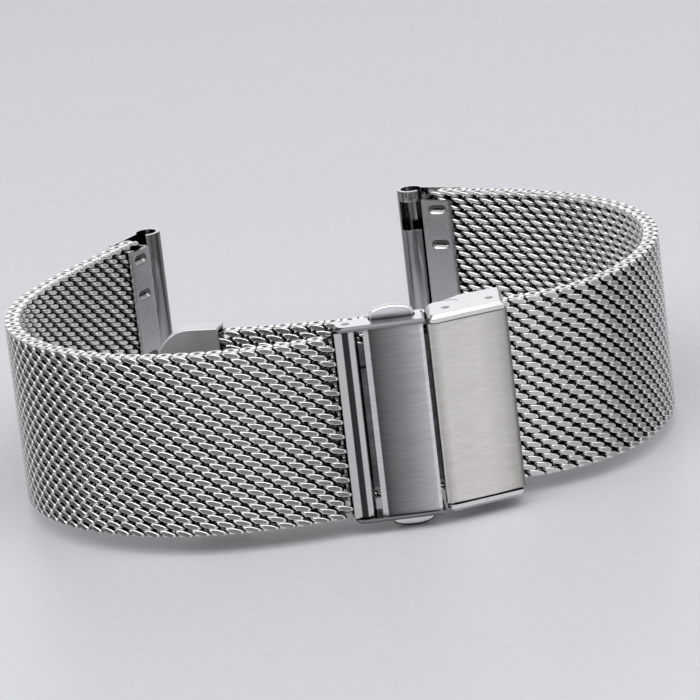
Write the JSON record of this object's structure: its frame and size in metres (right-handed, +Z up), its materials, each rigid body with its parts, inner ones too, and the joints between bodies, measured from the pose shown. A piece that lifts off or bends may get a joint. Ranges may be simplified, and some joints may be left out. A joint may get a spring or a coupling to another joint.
{
  "type": "mesh watch band",
  "caption": "Woven steel mesh watch band, bent into an open loop, with a push-button folding clasp, a sliding length lock and curled ends for spring bars.",
  "frame": {"origin": "centre of the bounding box on the ground, under the loop", "axes": "+X to the right seen from the clasp, +Y from the clasp towards the ends that hold the watch, +Z up along the width of the band"},
  "size_m": [0.0726, 0.0618, 0.0245],
  "materials": {
    "mesh_steel": "woven wire, ground and polished on its faces",
    "polished_steel": "polished",
    "brushed_steel": "fine straight brushing along the band",
    "pin_steel": "turned"
  },
  "bodies": {
    "slider": {"slider_cheek_top": "polished_steel", "slider_cheek_bottom": "polished_steel", "slider_floor": "brushed_steel", "fold_leaf": "brushed_steel", "guide_pin": "pin_steel", "lock_pin": "pin_steel", "leaf_hinge_pin": "pin_steel"},
    "lock_flap": {"lock_flap": "brushed_steel"},
    "fold_link": {"fold_link": "brushed_steel"},
    "button_block": {"left_cover_plate": "brushed_steel", "left_cheek_top": "polished_steel", "left_cheek_bottom": "polished_steel", "barrel_pin": "pin_steel", "link_hinge_pin": "pin_steel", "spring_latch": "pin_steel"},
    "top_button": {"top_button": "polished_steel"},
    "bottom_button": {"bottom_button": "polished_steel"},
    "left_strap_1": {"strap_barrel": "polished_steel", "mesh_left_1": "mesh_steel"},
    "left_strap_2": {"mesh_left_2": "mesh_steel"},
    "left_strap_3": {"mesh_left_3": "mesh_steel"},
    "left_strap_4": {"mesh_left_4": "mesh_steel"},
    "left_strap_5": {"mesh_left_5": "mesh_steel", "left_lug_tube": "polished_steel", "left_clamp_plate": "polished_steel"},
    "tail": {"mesh_tail": "mesh_steel", "tail_tip": "polished_steel"},
    "right_strap_1": {"mesh_right_1": "mesh_steel"},
    "right_strap_2": {"mesh_right_2": "mesh_steel"},
    "right_strap_3": {"mesh_right_3": "mesh_steel"},
    "right_strap_4": {"mesh_right_4": "mesh_steel"},
    "right_strap_5": {"mesh_right_5": "mesh_steel", "right_lug_tube": "polished_steel", "right_clamp_plate": "polished_steel"}
  },
  "joints": [
    {"name": "fold_open", "type": "hinge", "parent": "slider", "child": "fold_link", "pos_m": [0.00044, -0.0262, 0.01225], "axis": [0, 0, -1], "range_deg": [0, 160], "deforming": ["spring_latch"]},
    {"name": "cover_fold", "type": "hinge", "parent": "fold_link", "child": "button_block", "pos_m": [0.00805, -0.02712, 0.01225], "axis": [0, 0, -1], "range_deg": [-160, 0]},
    {"name": "strap_hinge", "type": "hinge", "parent": "button_block", "child": "left_strap_1", "pos_m": [0.00067, -0.02825, 0.01225], "axis": [0, 0, 1], "range_deg": [-3, 40]},
    {"name": "top_button_press", "type": "slide", "parent": "button_block", "child": "top_button", "axis": [0, 0, -1], "range_m": [0, 0.0007], "stiffness_N_per_m": 1500, "deforming": ["spring_latch"]},
    {"name": "bottom_button_press", "type": "slide", "parent": "button_block", "child": "bottom_button", "axis": [0, 0, 1], "range_m": [0, 0.0007], "stiffness_N_per_m": 1500, "deforming": ["spring_latch"]},
    {"name": "lock_flap_lift", "type": "hinge", "parent": "slider", "child": "lock_flap", "pos_m": [0.01614, -0.02443, 0.01225], "axis": [0, 0, 1], "range_deg": [0, 70]},
    {"name": "strap_adjust", "type": "hinge", "parent": "slider", "child": "tail", "pos_m": [0.00438, 0.05259, 0.01225], "axis": [0, 0, 1], "range_deg": [0, 11]},
    {"name": "left_curl_1", "type": "hinge", "parent": "left_strap_1", "child": "left_strap_2", "pos_m": [-0.01605, -0.02961, 0.01225], "axis": [0, 0, 1], "range_deg": [-2, 12]},
    {"name": "left_curl_2", "type": "hinge", "parent": "left_strap_2", "child": "left_strap_3", "pos_m": [-0.02987, -0.02176, 0.01225], "axis": [0, 0, 1], "range_deg": [-2, 12]},
    {"name": "left_curl_3", "type": "hinge", "parent": "left_strap_3", "child": "left_strap_4", "pos_m": [-0.03546, -0.00692, 0.01225], "axis": [0, 0, 1], "range_deg": [-2, 12]},
    {"name": "left_curl_4", "type": "hinge", "parent": "left_strap_4", "child": "left_strap_5", "pos_m": [-0.03062, 0.00832, 0.01225], "axis": [0, 0, 1], "range_deg": [-2, 12]},
    {"name": "right_curl_1", "type": "hinge", "parent": "tail", "child": "right_strap_1", "pos_m": [0.02089, -0.02159, 0.01225], "axis": [0, 0, -1], "range_deg": [-2, 12]},
    {"name": "right_curl_2", "type": "hinge", "parent": "right_strap_1", "child": "right_strap_2", "pos_m": [0.0319, -0.01303, 0.01225], "axis": [0, 0, -1], "range_deg": [-2, 12]},
    {"name": "right_curl_3", "type": "hinge", "parent": "right_strap_2", "child": "right_strap_3", "pos_m": [0.03546, 0.00075, 0.01225], "axis": [0, 0, -1], "range_deg": [-2, 12]},
    {"name": "right_curl_4", "type": "hinge", "parent": "right_strap_3", "child": "right_strap_4", "pos_m": [0.0315, 0.01348, 0.01225], "axis": [0, 0, -1], "range_deg": [-2, 12]},
    {"name": "right_curl_5", "type": "hinge", "parent": "right_strap_4", "child": "right_strap_5", "pos_m": [0.02269, 0.02237, 0.01225], "axis": [0, 0, -1], "range_deg": [-2, 12]}
  ],
  "couplings": [
    {"joint": "cover_fold", "follows": "fold_open", "ratio": -1}
  ]
}
